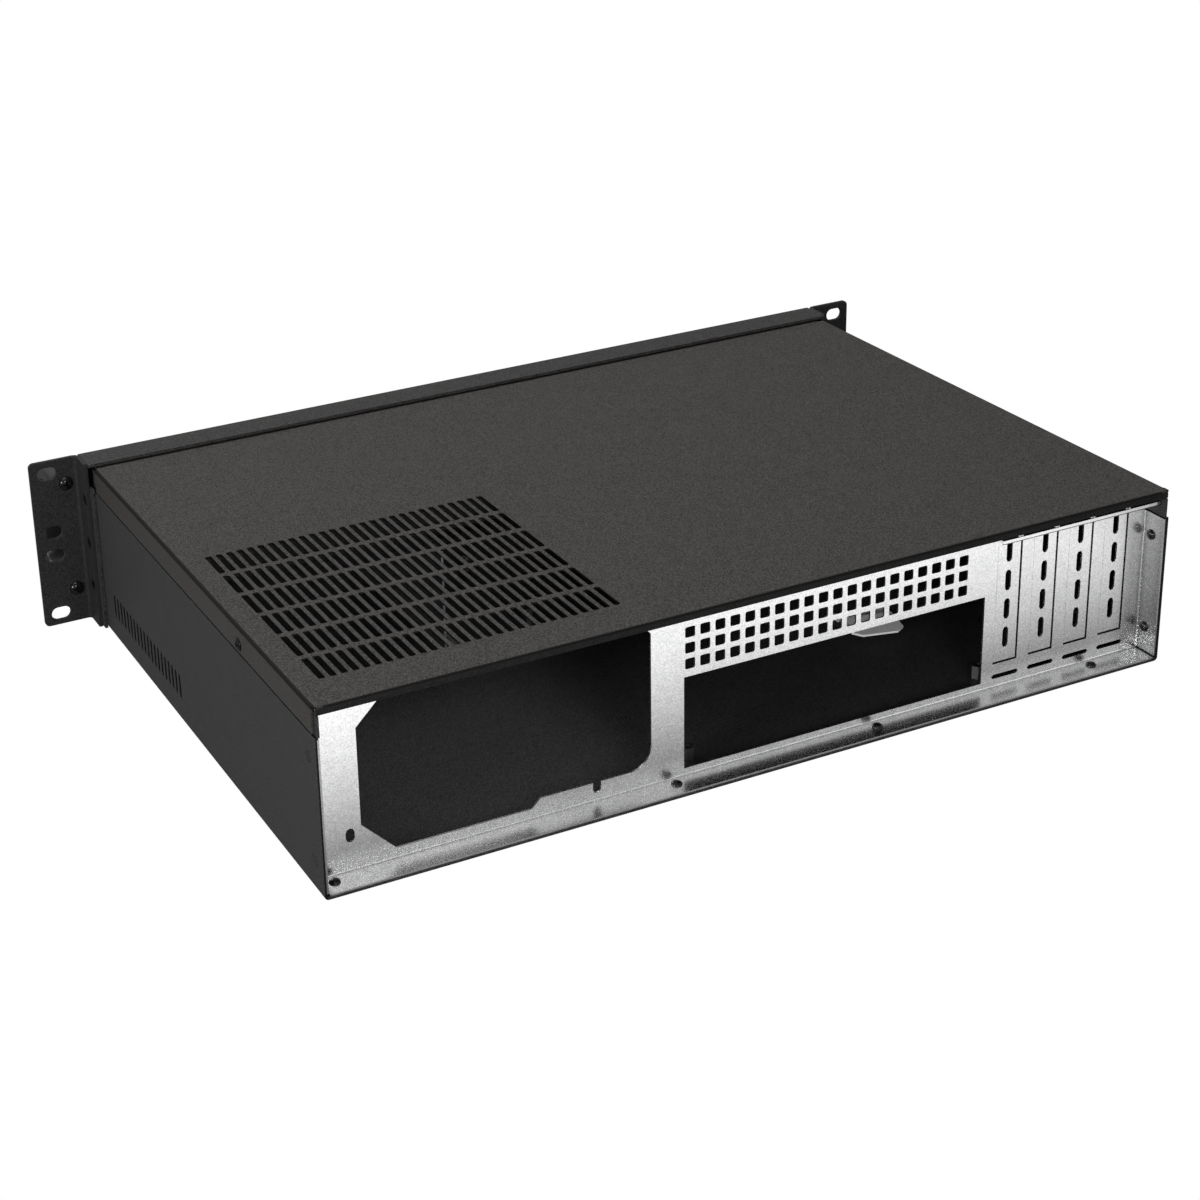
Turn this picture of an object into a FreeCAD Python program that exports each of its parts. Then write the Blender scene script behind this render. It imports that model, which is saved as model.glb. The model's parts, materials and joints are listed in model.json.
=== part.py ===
import FreeCAD, Part
import math
import os

V = FreeCAD.Vector
X = V(1, 0, 0)
Y = V(0, 1, 0)
Z = V(0, 0, 1)

# Empty rackmount case, two rack units high, for a small board and a full size power supply.
# Millimetres. The front faces -Y, the rear +Y, and Z is up from the underside.
# Left and right are as seen from the front, so right is +X.

# Sheet and folds
sheet = 1.0
bend = 0.8
bend_steps = 3
fold_root = 6.0
fit_gap = 0.2
flush_gap = 0.1

# Across the rear, from the right side to the left: these add up to the width of the body
psu_side_gap = 22.6
psu_width = 136.5
window_gap = 16.25
window_width = 158.75
slot_gap = 12.6
slot_pitch = 20.32
slot_count = 4
slot_side_gap = 19.34

# From the ears' rear faces to the rear edge: these add up to the depth
board_front_gap = 46.47
board_rows = (0.0, 154.94, 227.33)
board_edge_gap = 12.2
recess = 13.0

# Ears, with the hole spacing of a standard rack
ear_sheet = 2.0
ear_bend = 1.8
ear_reach = 24.1
ear_flange = 13.3
ear_corner = 2.5
rack_hole_edge = 8.75
rack_hole_z = 5.95
rack_hole_pitch = 31.75
rack_hole_step = 12.7
rack_hole_top = 6.75
unit_gap = 1.3
ear_slot_length = 10.0
ear_slot_width = 6.8

# Screws through the ear flanges
ear_screw_y = 9.5
ear_screw_z = 22.2
ear_screw_pitch = 23.3
ear_screw_r = 1.5
ear_screw_head_r = 2.9
ear_screw_length = 7.5

# Front handles
handle_out = 34.0
handle_width = 14.0
handle_thick = 8.0
handle_corner = 18.0
handle_inner_corner = 10.0
handle_corner_steps = 4
handle_edge = 1.6
handle_gap = 1.3
handle_screw_z = 18.0
handle_screw_pitch = 57.5
handle_screw_r = 2.0
handle_screw_head_r = 3.6
handle_screw_head = 2.2
handle_screw_depth = 12.0
screw_end_gap = 1.0

# Front panel
panel_sheet = 1.5
panel_bend = 0.8
panel_return = 18.0
panel_side_return = 20.5
panel_top_drop = 12.9
panel_lift = 0.4
front_vent_edge = 29.2
front_vent_pitch = 16.0
front_vent_count = 15
front_vent_width = 5.0
front_vent_length = 28.0
front_vent_z = 27.0
front_vent_row_pitch = 36.0
front_vent_rows = 2

# Base tray
cover_side = 12.6
seam_gap = 0.6
step_over = 0.4
step_rise = 2.2
side_top_gap = 2.0
front_upstand = 12.0
upstand_relief = 6.0
side_vent_y = 32.6
side_vent_pitch = 5.07
side_vent_count = 20
side_vent_width = 2.6
side_vent_length = 13.5
side_vent_z = 18.7
side_vent_steps = 2

# Top cover
cover_front = 18.8
cover_flange_end = 2.7
lip_depth = 3.7
lip_inset = 1.3
lip_gap = 0.5
tongue_length = 14.0
tongue_drop = 1.2
tongue_step = 2.0
tongue_step_y = 0.6
top_vent_edge = 13.2
top_vent_pitch = 5.0
top_vent_count = 28
top_vent_width = 2.5
top_vent_length = 19.8
top_vent_y = 21.6
top_vent_row_pitch = 22.8
top_vent_rows = 6
cover_screw_y = 217.0
cover_screw_z = 4.1
cover_screw_r = 1.5
cover_screw_head_r = 3.1
cover_screw_head = 1.2
cover_screw_length = 5.0
screw_gap = 0.1
screw_sides = 8
nut_r = 3.2
nut_height = 2.0
nut_sides = 6

# Rear panel
flange_short = 0.4
rear_flange_top_gap = 2.0
rear_side_flange_bottom = 2.6
rear_corner_relief = 1.5
rear_top_gap = 0.4
window_height = 44.45
window_z = 5.4
psu_bottom = 6.6
psu_top_gap = 5.6
psu_chamfer = 15.3
psu_step_x = 78.3
psu_step_rise = 4.2
psu_corner = 10.0
psu_top_chamfer = 7.0
psu_screw_out = 5.0
psu_screw_in = 3.5
psu_screw_low = 11.8
psu_screw_high = 0.4
psu_screw_r = 2.0
psu_screw_slot = 6.5
psu_notch_x = 109.6
psu_notch_depth = 3.3
grille_inset = 0.55
grille_end_gap = 10.32
grille_columns = 20
grille_rows = 3
grille_hole = 5.0
grille_gap = 3.65
slot_width = 12.4
slot_bottom = 14.9
slot_cut = 1.1
slot_score = 0.3
slot_score_depth = 0.25
slot_cut_gap = 1.6
slot_hole_width = 3.2
slot_hole_length = 10.6
slot_hole_count = 4
slot_hole_low = 11.8
slot_hole_high = 7.2
tongue_slot_width = 15.4
tongue_slot_height = 2.2
tongue_slot_x = 0.9
tongue_slot_z = 7.25
ledge_drop = 7.6
ledge_depth = 10.0
ledge_window_gap = 0.9
ledge_screw_r = 1.6
ledge_screw_y = 6.5
rivet_from_sides = (7.8, 32.5)
rivet_from_window = (6.55, -98.05)
rivet_back = 8.3
rivet_z = (14.7, 62.3)
rivet_sides = 8
rivet_r = 1.6
rivet_dome_r = 2.5
rivet_dome = 1.6
rivet_foot_r = 2.8
rivet_foot = 0.5

# Board standoffs
board_window_gap = 9.55
board_columns = (0.0, 157.48, 203.2)
standoff_flats = 5.5
standoff_height = 6.5
standoff_bore_r = 1.25
standoff_bore = 5.0
standoff_foot_r = 1.7

# Drive cage
cage_psu_gap = 60.9
cage_inner = 102.0
cage_front = 10.0
cage_length = 120.0
cage_height = 58.0
cage_foot = 9.0
cage_hole_r = 1.8
cage_hole_y = (30.0, 90.0)
cage_hole_z = 28.0
cage_screw_y = (14.0, 106.0)
cage_screw_r = 1.5
cage_screw_head_r = 2.9
cage_screw_head = 1.8

# Cross brace under the cover
brace_y = 137.0
brace_width = 14.0
brace_height = 10.0
brace_lip = 5.0
brace_gap = 0.3

# Light plate on the floor
plate_window_gap = 150.15
plate_width = 26.4
plate_turn = 14.0
plate_y = 188.5
plate_length = 32.0
plate_foot = 8.0
plate_rise = 3.0
plate_corner = 4.2

# Switches, lights and sockets behind the front panel
control_side_gap = 29.5
power_z = 58.0
power_r = 6.0
power_out = 2.6
power_travel = 1.5
power_edge = 0.5
reset_z = 36.0
reset_r = 2.6
reset_out = 0.6
reset_travel = 1.0
reset_edge = 0.3
button_sides = 16
button_gap = 0.3
button_flange = 1.2
button_flange_edge = 1.2
stem_r = 1.6
stem_gap = 0.15
stem_end_gap = 0.3
switch_floor = 0.5
switch_size = 9.0
switch_depth = 4.0
light_x = 18.0
light_z = (58.0, 48.0)
light_r = 1.5
light_out = 0.8
light_edge = 0.4
socket_x = 37.0
socket_z = (56.0, 38.0)
socket_width = 13.2
socket_height = 5.8
socket_wall = 0.4
socket_depth = 8.6
socket_tongue = 1.8
socket_tongue_side = 1.2
socket_tongue_in = 0.8
socket_tongue_z = 0.2
socket_gap = 0.15
board_gap = 10.0
board_sheet = 1.6
board_margin = 11.0
board_right = 12.0
board_low = 28.0
board_high = 70.0
post_r = 2.5
post_inset = 4.0
post_screw_r = 1.2
post_screw_head_r = 2.3
post_screw_head = 1.4
post_screw_length = 6.0

# Places that follow from the sizes above
body_width = (psu_side_gap + psu_width + window_gap + window_width
              + slot_gap + slot_pitch * (slot_count - 1) + slot_side_gap)
unit_height = rack_hole_z + 2.0 * rack_hole_pitch + rack_hole_step + rack_hole_top
body_height = unit_height - unit_gap
depth = board_front_gap + board_rows[-1] + board_edge_gap + sheet + recess
rear_y = (depth + ear_sheet + handle_out) / 2.0
ear_y = rear_y - depth
ear_front_y = ear_y - ear_sheet
panel_in_y = ear_front_y
panel_y = panel_in_y - panel_sheet
side_x = body_width / 2.0
side_in_x = side_x - sheet
step_x = side_in_x - fit_gap
step_in_x = step_x - sheet
panel_side_x = side_x + fit_gap + panel_sheet
ear_in_x = panel_side_x
ear_flange_x = ear_in_x + ear_sheet
ear_out_x = ear_flange_x + ear_reach
cover_y = ear_y + cover_front
cover_under = body_height - sheet
side_top = cover_under - side_top_gap
rear_panel_y = rear_y - recess
rear_panel_in = rear_panel_y - sheet
floor_z = sheet
rivet_y = rear_y - rivet_back
handle_x = panel_side_x + handle_gap + handle_width / 2.0
seam_z = body_height - cover_side
cover_held_z = seam_z + cover_screw_z
psu_left = side_x - psu_side_gap
psu_right = psu_left - psu_width
psu_top = body_height - psu_top_gap
window_left = psu_right - window_gap
window_right = window_left - window_width
slot_x = window_right - slot_gap
grille_pitch = (window_width - grille_inset - grille_end_gap - grille_hole) / (grille_columns - 1)
ledge_z = body_height - ledge_drop
ledge_left = window_right - ledge_window_gap
cage_x = psu_left - cage_psu_gap
plate_x = window_left - plate_window_gap
control_x = control_side_gap - side_x


nodes = {}


def block(x0, x1, y0, y1, z0, z1):
    return Part.makeBox(x1 - x0, y1 - y0, z1 - z0, V(x0, y0, z0))


def rod(radius, start, end):
    # A round bar between two points
    along = end - start
    return Part.makeCylinder(radius, along.Length, start, along)


def corners(radius, centre, out, sides):
    # The corners of a regular outline that lies across the direction out
    side = X if abs(out.x) < 0.5 else Y
    up = out.cross(side)
    turns = [2.0 * math.pi * k / sides for k in range(sides)]
    return [centre + side * (radius * math.cos(a)) + up * (radius * math.sin(a)) for a in turns]


def turned(profile, start, out, sides):
    # A small turned piece with many sides, from pairs of radius and distance along out
    rings = [corners(r, start + out * h, out, sides) for r, h in profile]
    faces = [Part.Face(Part.makePolygon(ring + [ring[0]])) for ring in (rings[0], rings[-1])]
    for low, high in zip(rings, rings[1:]):
        for i in range(sides):
            j = (i + 1) % sides
            faces.append(Part.Face(Part.makePolygon([low[i], low[j], high[j], high[i], low[i]])))
    body = Part.makeSolid(Part.makeShell(faces))
    return body if body.Volume > 0 else body.reversed()


def bar(radius, start, end, sides):
    # A many-sided round bar, for small shanks and the holes that they pass through
    along = end - start
    return turned([(radius, 0.0), (radius, along.Length)], start, along.normalize(), sides)


def prism(points, along):
    # A straight prism on a closed outline
    return Part.Face(Part.makePolygon(points + [points[0]])).extrude(along)


def long_hole(centre, half, width, steps, along, side, through):
    # A slot with many-sided round ends: half is its half length along one unit vector,
    # side is the unit vector across it, and through is the way it is cut
    r = width / 2.0
    reach = half - r
    points = []
    for way in (1.0, -1.0):
        for i in range(steps + 1):
            a = -math.pi / 2.0 + i * math.pi / steps
            end = along * (way * (reach + r * math.cos(a)))
            points.append(centre + end + side * (way * r * math.sin(a)))
    return prism(points, through)


def vent(centre, half, width, along, side, through):
    # A slot with square ends, for the rows of vents
    long = along * half
    wide = side * (width / 2.0)
    high = [centre + long + wide, centre - long + wide]
    low = [centre - long - wide, centre + long - wide]
    return prism(high + low, through)


def round_slot(centre, half, radius, along, side, through):
    # A slot with true round ends, for a screw that seats in it
    reach = half - radius
    ends = []
    for way in (1.0, -1.0):
        middle = centre + along * (way * reach)
        first = middle - side * (way * radius)
        last = middle + side * (way * radius)
        ends.append((first, Part.Arc(first, middle + along * (way * radius), last).toShape(), last))
    first_line = Part.makeLine(ends[0][2], ends[1][0])
    last_line = Part.makeLine(ends[1][2], ends[0][0])
    return Part.Face(Part.Wire([ends[0][1], first_line, ends[1][1], last_line])).extrude(through)


def folded(points, thick, inner, start, across, up, along):
    # One sheet folded along a line of points, given as pairs in the plane of across and up.
    # The line is the middle of the sheet, and inner is the inside radius of each fold.
    radius = inner + thick / 2.0
    last = len(points) - 1
    outline = []
    for offset in (thick / 2.0, -thick / 2.0):
        side = []
        for i in range(last + 1):
            px, py = points[i]
            ax, ay = points[max(i - 1, 0)]
            bx, by = points[min(i + 1, last)]
            into = math.atan2(py - ay, px - ax) if i > 0 else math.atan2(by - py, bx - px)
            away = math.atan2(by - py, bx - px) if i < last else into
            turn = math.remainder(away - into, 2.0 * math.pi)
            if abs(turn) < 1e-6:
                side.append((px - math.sin(into) * offset, py + math.cos(into) * offset))
                continue
            way = math.copysign(1.0, turn)
            cut = radius * math.tan(abs(turn) / 2.0)
            cx = px - math.cos(into) * cut - math.sin(into) * way * radius
            cy = py - math.sin(into) * cut + math.cos(into) * way * radius
            arm = radius - way * offset
            for k in range(bend_steps + 1):
                a = into + turn * k / bend_steps
                side.append((cx + math.sin(a) * way * arm, cy - math.cos(a) * way * arm))
        outline.append(side)
    section = outline[0] + outline[1][::-1]
    return prism([start + across * a + up * b for a, b in section], along)


def joined(shapes):
    whole = shapes[0].multiFuse(shapes[1:])
    return whole.removeSplitter()


def without(shape, tools):
    return shape.cut(Part.makeCompound(tools)) if tools else shape


def mirrored(shape):
    return shape.mirror(V(0, 0, 0), V(1, 0, 0))


def solid(shape):
    solids = shape.Solids
    return solids[0] if len(solids) == 1 else Part.makeCompound(solids)


def screw_places():
    # Depth and height of the small screws through each ear flange
    return [(ear_y + ear_screw_y, ear_screw_z + i * ear_screw_pitch) for i in range(3)]


def tray_side(side, y, z):
    # A point on the outside of one side of the tray
    return V(side * side_x, y, z)


def hole_through(radius, face, out, thick, sides):
    # A hole through a sheet whose outer face is at face
    return bar(radius, face + out, face - out * (thick + 1.0), sides)


def base_tray():
    mid = sheet / 2.0
    high = seam_z - seam_gap + step_over
    line = [
        (step_x - mid, side_top),
        (step_x - mid, high),
        (side_x - mid, high - step_rise),
        (side_x - mid, mid),
    ]
    line += [(-x, z) for x, z in reversed(line)]
    front = panel_in_y + fit_gap
    tray = folded(line, sheet, bend, V(0, front, 0), X, Z, Y * (rear_y - front))
    lip_x = side_in_x - upstand_relief
    lip = folded(
        [(front + fold_root, mid), (front + mid, mid), (front + mid, front_upstand)],
        sheet, bend, V(-lip_x, 0, 0), Y, Z, X * (2.0 * lip_x))
    strip = block(-side_in_x, side_in_x, front - 1.0, front + fold_root / 2.0, -1.0, sheet + 1.0)
    tray = joined([tray.cut(strip), lip])
    cuts = []
    for side in (1.0, -1.0):
        out = X * side
        for i in range(side_vent_count):
            centre = tray_side(side, ear_y + side_vent_y + i * side_vent_pitch, side_vent_z) + out
            half = side_vent_length / 2.0
            cuts.append(long_hole(centre, half, side_vent_width, side_vent_steps, Z, Y, out * -3.0))
        for z in rivet_z:
            face = tray_side(side, rivet_y, z)
            cuts.append(hole_through(rivet_r, face, out, sheet, rivet_sides))
            cuts.append(hole_through(rivet_foot_r, face, out, rivet_foot - 1.0, rivet_sides))
        for y, z in screw_places():
            cuts.append(hole_through(ear_screw_r, tray_side(side, y, z), out, sheet, screw_sides))
        held = V(side * step_x, ear_y + cover_screw_y, cover_held_z)
        cuts.append(hole_through(cover_screw_r, held, out, sheet, screw_sides))
    behind_lip = block(step_in_x - 1.0, side_x, rear_y - sheet - lip_gap, rear_y + 1.0,
                       body_height - lip_depth - lip_gap, body_height)
    cuts += [behind_lip, mirrored(behind_lip)]
    for x in rivet_places():
        face = V(x, rivet_y, 0)
        cuts.append(hole_through(rivet_r, face, -Z, sheet, rivet_sides))
        cuts.append(hole_through(rivet_foot_r, face, -Z, rivet_foot - 1.0, rivet_sides))
    for x, y in standoff_places():
        cuts.append(hole_through(standoff_foot_r, V(x, y, 0), -Z, sheet, screw_sides))
    for x, y in cage_screw_places():
        cuts.append(hole_through(cage_screw_r, V(x, y, 0), -Z, sheet, screw_sides))
    nodes["base_tray"] = without(tray, cuts)


def top_cover():
    mid = sheet / 2.0
    top = body_height - mid
    half = [(side_x - mid, seam_z), (side_x - mid, top)]
    line = half + [(-x, z) for x, z in reversed(half)]
    flange_end = rear_y - cover_flange_end
    shell = folded(line, sheet, bend, V(0, cover_y, 0), X, Z, Y * (flange_end - cover_y))
    lip_x = side_x - lip_inset
    back = folded(
        [(flange_end - fold_root, top), (rear_y - mid, top), (rear_y - mid, body_height - lip_depth)],
        sheet, bend, V(-lip_x, 0, 0), Y, Z, X * (2.0 * lip_x))
    corner = block(lip_x - 1.0, side_x - bend, flange_end - 1.0, rear_y - mid, cover_under, body_height)
    tongue_x = step_in_x - fit_gap
    step_y = cover_y + tongue_step_y
    tongue = folded(
        [(cover_y - tongue_length, top - tongue_drop), (step_y - tongue_step, top - tongue_drop),
         (step_y, top), (cover_y + fold_root, top)],
        sheet, bend / 2.0, V(-tongue_x, 0, 0), Y, Z, X * (2.0 * tongue_x))
    cover = joined([shell, back, corner, mirrored(corner), tongue])
    cuts = []
    for k in range(top_vent_rows):
        y = rear_y - top_vent_y - top_vent_length / 2.0 - k * top_vent_row_pitch
        for i in range(top_vent_count):
            centre = V(side_x - top_vent_edge - i * top_vent_pitch, y, body_height + 1.0)
            cuts.append(vent(centre, top_vent_length / 2.0, top_vent_width, Y, X, Z * -3.0))
    for side in (1.0, -1.0):
        face = tray_side(side, ear_y + cover_screw_y, cover_held_z)
        cuts.append(hole_through(cover_screw_r + screw_gap, face, X * side, sheet - 0.5, screw_sides))
    nodes["top_cover"] = without(cover, cuts)


def psu_outline():
    step_z = psu_bottom + psu_step_rise
    step_x = psu_left - psu_step_x
    points = [
        (psu_left, psu_bottom + psu_chamfer),
        (psu_left - psu_chamfer, psu_bottom),
        (step_x, psu_bottom),
        (step_x - psu_step_rise, step_z),
    ]
    for i in range(5):
        a = i * math.pi / 8.0
        across = psu_corner * (1.0 - math.sin(a))
        points.append((psu_right + across, step_z + psu_corner * (1.0 - math.cos(a))))
    points += [
        (psu_right, psu_top - psu_top_chamfer),
        (psu_right + psu_top_chamfer, psu_top),
        (psu_left - psu_chamfer, psu_top),
        (psu_left, psu_top - psu_chamfer),
    ]
    return points


def rivet_places():
    right, left = rivet_from_sides
    return [side_x - right] + [window_left + x for x in rivet_from_window] + [left - side_x]


def rear_panel():
    mid = sheet / 2.0
    y0 = rear_panel_in
    y1 = rear_panel_y
    end_y = rear_y - flange_short
    half_x = step_in_x - fit_gap
    plate_top = cover_under - rear_top_gap
    side_flange_top = seam_z - rear_flange_top_gap
    flat = block(-half_x, half_x, y0, y1, rear_side_flange_bottom, plate_top)
    foot_x = side_in_x - rear_corner_relief
    foot = folded(
        [(y0 + mid, floor_z + sheet + bend + fold_root), (y0 + mid, floor_z + mid), (end_y, floor_z + mid)],
        sheet, bend, V(-foot_x, 0, 0), Y, Z, X * (2.0 * foot_x))
    wing = folded(
        [(half_x - fold_root, y0 + mid), (side_in_x - mid, y0 + mid), (side_in_x - mid, end_y)],
        sheet, bend, V(0, 0, rear_side_flange_bottom), X, Y, Z * (side_flange_top - rear_side_flange_bottom))
    shelf = folded(
        [(y0 + mid, ledge_z - fold_root), (y0 + mid, ledge_z), (y1 + ledge_depth, ledge_z)],
        sheet, bend, V(-half_x, 0, 0), Y, Z, X * (ledge_left + half_x))
    cut_z = ledge_z - fold_root / 2.0
    above = block(-half_x - 1.0, ledge_left + 1.0, y0 - 1.0, y1 + 1.0, cut_z, plate_top + 1.0)
    panel = joined([flat.cut(above), foot, wing, mirrored(wing), shelf])

    front = y0 - 1.0
    back = y1 + 1.0
    through = Y * (back - front)
    cuts = [block(window_right, window_left, front, back, window_z, window_z + window_height)]
    cuts.append(prism([V(x, front, z) for x, z in psu_outline()], through))
    low = psu_bottom + psu_screw_low
    beside = V(psu_left + psu_screw_out, front, low)
    cuts.append(long_hole(beside, psu_screw_slot / 2.0, 2.0 * psu_screw_r, 4, Z, X, through))
    for x in (psu_left + psu_screw_out, psu_right + psu_screw_in):
        z = psu_top + psu_screw_high
        cuts.append(rod(psu_screw_r, V(x, front, z), V(x, back, z)))
    step_z = psu_bottom + psu_step_rise
    low = step_z - psu_notch_depth - psu_screw_r
    half = (step_z + psu_screw_r - low) / 2.0
    notch = V(psu_left - psu_notch_x, front, low + half)
    cuts.append(long_hole(notch, half, 2.0 * psu_screw_r, 4, Z, X, through))

    h = grille_hole / 2.0
    for j in range(grille_rows):
        z = window_z + window_height + grille_gap + h + j * grille_pitch
        for i in range(grille_columns):
            x = window_left - grille_inset - h - i * grille_pitch
            cuts.append(block(x - h, x + h, front, back, z - h, z + h))

    cut_top = ledge_z - mid - bend - slot_cut_gap
    first = slot_bottom + slot_hole_low
    hole_pitch = (cut_top - slot_hole_high - first) / (slot_hole_count - 1)
    for i in range(slot_count):
        x = slot_x - i * slot_pitch
        low = x - slot_width / 2.0
        high = x + slot_width / 2.0
        cuts.append(block(low - slot_cut, low, front, back, slot_bottom - slot_cut, cut_top))
        cuts.append(block(low - slot_cut, high, front, back, slot_bottom - slot_cut, slot_bottom))
        score = y1 - slot_score_depth
        cuts.append(block(high, high + slot_score, score, back, slot_bottom - slot_cut, cut_top))
        for k in range(slot_hole_count):
            centre = V(x, front, first + k * hole_pitch)
            cuts.append(long_hole(centre, slot_hole_length / 2.0, slot_hole_width, 3, Z, X, through))
        centre = V(x - tongue_slot_x, front, tongue_slot_z)
        cuts.append(long_hole(centre, tongue_slot_width / 2.0, tongue_slot_height, 2, X, Z, through))
        y = y1 + ledge_screw_y
        cuts.append(rod(ledge_screw_r, V(x, y, ledge_z - sheet), V(x, y, ledge_z + sheet)))
    for x in rivet_places():
        cuts.append(hole_through(rivet_r, V(x, rivet_y, 0), -Z, 2.0 * sheet, rivet_sides))
    for side in (1.0, -1.0):
        for z in rivet_z:
            face = tray_side(side, rivet_y, z)
            cuts.append(hole_through(rivet_r, face, X * side, 2.0 * sheet, rivet_sides))
    nodes["rear_panel"] = without(panel, cuts)


def socket_places():
    return [V(control_x + socket_x, panel_y, z) for z in socket_z]


def light_places():
    return [V(control_x + light_x, panel_y, z) for z in light_z]


def front_panel():
    mid = panel_sheet / 2.0
    face_y = panel_y + mid
    side_top = unit_height - panel_top_drop
    top_z = unit_height - mid
    top = folded(
        [(face_y, side_top - fold_root), (face_y, top_z), (panel_y + panel_return + mid, top_z)],
        panel_sheet, panel_bend, V(-panel_side_x, 0, 0), Y, Z, X * (2.0 * panel_side_x))
    line = [(panel_side_x - mid, panel_y + panel_side_return), (panel_side_x - mid, face_y)]
    line += [(-x, y) for x, y in reversed(line)]
    walls = folded(line, panel_sheet, panel_bend, V(0, 0, panel_lift), X, Y, Z * (side_top - panel_lift))
    panel = joined([walls, top])
    cuts = []
    front = panel_y - 1.0
    through = Y * (panel_sheet + 2.0)
    for j in range(front_vent_rows):
        z = front_vent_z + j * front_vent_row_pitch
        for i in range(front_vent_count):
            centre = V(panel_side_x - front_vent_edge - i * front_vent_pitch, front, z)
            cuts.append(vent(centre, front_vent_length / 2.0, front_vent_width, Z, X, through))
    for r, z in ((power_r, power_z), (reset_r, reset_z)):
        end = V(control_x, panel_in_y + 1.0, z)
        cuts.append(bar(r + button_gap, V(control_x, front, z), end, button_sides))
    for p in light_places():
        cuts.append(hole_through(light_r, p, -Y, panel_sheet, screw_sides))
    w = socket_width / 2.0 + socket_gap
    h = socket_height / 2.0 + socket_gap
    for p in socket_places():
        cuts.append(block(p.x - w, p.x + w, front, panel_in_y + 1.0, p.z - h, p.z + h))
    for side in (1.0, -1.0):
        for y, z in screw_places():
            face = V(side * panel_side_x, y, z)
            thick = panel_sheet - 0.9
            cuts.append(hole_through(ear_screw_r + screw_gap, face, X * side, thick, screw_sides))
    nodes["front_panel"] = without(panel, cuts)


def rack_slots():
    first = rack_hole_z
    second = first + rack_hole_pitch
    third = second + rack_hole_step
    return [first, second, third, third + rack_hole_pitch]


def ears():
    mid = ear_sheet / 2.0
    line = [(ear_out_x, ear_y - mid), (ear_in_x + mid, ear_y - mid), (ear_in_x + mid, ear_y + ear_flange)]
    ear = folded(line, ear_sheet, ear_bend, V(0, 0, 0), X, Y, Z * unit_height)
    short = [e for e in ear.Edges if e.Length < 1.1 * ear_sheet]
    tips = [e for e in short if abs(e.CenterOfMass.x - ear_out_x) < 1e-6]
    ear = ear.makeFillet(ear_corner, tips)
    cuts = []
    front = ear_front_y - 1.0
    through = Y * (ear_sheet + 2.0)
    for z in rack_slots():
        centre = V(ear_out_x - rack_hole_edge, front, z)
        cuts.append(round_slot(centre, ear_slot_length / 2.0, ear_slot_width / 2.0, X, Z, through))
    for z in (handle_screw_z, handle_screw_z + handle_screw_pitch):
        face = V(handle_x, ear_y, z)
        cuts.append(hole_through(handle_screw_r + screw_gap, face, Y, ear_sheet, screw_sides))
    seat = ear_screw_head_r - ear_screw_r
    small = ear_screw_r + screw_gap
    large = ear_screw_head_r + screw_gap
    for y, z in screw_places():
        sink = [(small, -ear_sheet - 1.0), (small, -seat), (large, 0.0), (large, 1.0)]
        cuts.append(turned(sink, V(ear_flange_x, y, z), X, screw_sides))
    right = without(ear, cuts)
    nodes["ear_right"] = right
    nodes["ear_left"] = mirrored(right)


def handles():
    y0 = ear_front_y
    y1 = y0 - handle_out
    half = handle_thick / 2.0
    z0 = handle_screw_z - half
    z1 = handle_screw_z + handle_screw_pitch + half
    w = handle_width / 2.0

    def ring(front, low, high, radius):
        # Side view of the handle, with front corners of a few chords
        points = [V(0, y0, low)]
        for z, way in ((low + radius, -1.0), (high - radius, 1.0)):
            turns = [math.pi / 2.0 * k / handle_corner_steps for k in range(handle_corner_steps + 1)]
            middle = V(0, front + radius, z)
            bent = [middle + V(0, -radius * math.cos(a), way * radius * math.sin(a)) for a in turns]
            points += bent[::-1] if way < 0.0 else bent
        points.append(V(0, y0, high))
        return Part.Face(Part.makePolygon(points + [points[0]]))

    outer = ring(y1, z0, z1, handle_corner)
    inner = ring(y1 + handle_thick, z0 + handle_thick, z1 - handle_thick, handle_inner_corner)
    loop = outer.cut(inner).extrude(X * handle_width)
    loop.translate(V(handle_x - w, 0, 0))
    rims = [e for e in loop.Edges if all(abs(abs(v.X - handle_x) - w) < 1e-6 for v in e.Vertexes)
            and abs(e.Vertexes[0].X - e.Vertexes[-1].X) < 1e-6
            and not all(abs(v.Y - y0) < 1e-6 for v in e.Vertexes)]
    loop = loop.makeChamfer(handle_edge, rims)
    holes = []
    for z in (handle_screw_z, handle_screw_z + handle_screw_pitch):
        start = V(handle_x, y0 + 1.0, z)
        holes.append(bar(handle_screw_r, start, V(handle_x, y0 - handle_screw_depth, z), screw_sides))
    right = solid(without(loop, holes))
    nodes["handle_right"] = right
    nodes["handle_left"] = mirrored(right)


def cross_cut(centre, head_r, deep, out):
    # The cross recess of a screw head, whose arms are shares of the head
    side = X if abs(out.x) < 0.5 else Y
    up = out.cross(side)
    arms = []
    for u, w in ((up, side), (side, up)):
        long = u * (head_r * 0.5)
        wide = w * (head_r * 0.12)
        points = [centre + long + wide, centre - long + wide, centre - long - wide, centre + long - wide]
        arms.append(prism(points, out * -deep))
    return arms[0].fuse(arms[1])


def screw(shank_r, length, head_r, head, start, out, crossed=True):
    # A round head screw whose head seats on a face at start
    body = turned(
        [(shank_r, -length), (shank_r, 0.0), (head_r, 0.0), (head_r, head * 0.45), (head_r * 0.62, head)],
        start, out, screw_sides)
    return body.cut(cross_cut(start + out * head, head_r, head * 0.6, out)) if crossed else body


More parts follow.
